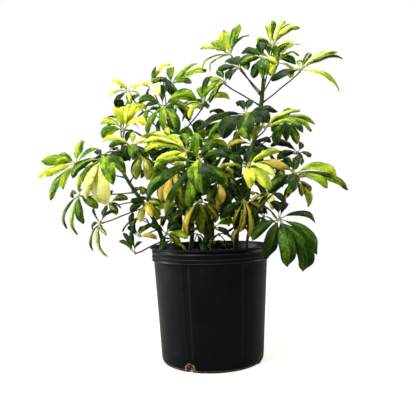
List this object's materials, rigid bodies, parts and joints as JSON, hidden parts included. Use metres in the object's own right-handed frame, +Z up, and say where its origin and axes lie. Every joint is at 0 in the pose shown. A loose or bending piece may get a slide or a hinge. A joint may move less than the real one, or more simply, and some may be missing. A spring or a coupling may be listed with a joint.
{
  "type": "potted umbrella plant",
  "caption": "Bushy umbrella plant with variegated rings of leaflets on long stalks, growing from woody stems in a round black nursery pot with a stepped collar.",
  "frame": {"origin": "centre of the pot's flat underside", "axes": "+Z up, against the way the flat underside looks; -Y is the plant's front; +X is the front's right-hand side"},
  "size_m": [0.6374, 0.5046, 0.7214],
  "materials": {
    "pot_plastic": "satin black polyethylene",
    "potting_soil": "rough dark peat and bark",
    "bark": "dull green-brown bark",
    "foliage": "glossy green leaves with yellow and cream patches"
  },
  "bodies": {
    "root": {"pot": "pot_plastic", "soil": "potting_soil", "stem_right": "bark", "stem_left": "bark", "stem_middle": "bark", "stem_back": "bark", "shoot_right": "bark", "leaf_01": "foliage", "leaf_02": "foliage", "leaf_03": "foliage", "leaf_04": "foliage", "leaf_05": "foliage", "leaf_06": "foliage", "leaf_07": "foliage", "leaf_08": "foliage", "leaf_09": "foliage", "leaf_10": "foliage", "leaf_11": "foliage", "leaf_12": "foliage", "leaf_13": "foliage", "leaf_14": "foliage", "leaf_15": "foliage", "leaf_16": "foliage", "leaf_17": "foliage", "leaf_18": "foliage", "leaf_19": "foliage", "leaf_20": "foliage", "leaf_21": "foliage", "leaf_22": "foliage", "leaf_23": "foliage", "leaf_24": "foliage", "leaf_25": "foliage", "leaf_26": "foliage", "leaf_27": "foliage", "leaf_28": "foliage", "leaf_29": "foliage", "leaf_30": "foliage", "leaf_31": "foliage", "leaf_32": "foliage", "leaf_33": "foliage", "leaf_34": "foliage", "leaf_35": "foliage", "leaf_36": "foliage", "leaf_37": "foliage", "leaf_38": "foliage", "leaf_39": "foliage", "leaf_40": "foliage", "leaf_41": "foliage", "leaf_42": "foliage", "leaf_43": "foliage", "leaf_44": "foliage", "leaf_45": "foliage", "leaf_46": "foliage", "leaf_47": "foliage", "leaf_48": "foliage", "leaf_49": "foliage", "leaf_50": "foliage", "leaf_51": "foliage", "leaf_52": "foliage", "leaf_53": "foliage"}
  },
  "joints": []
}
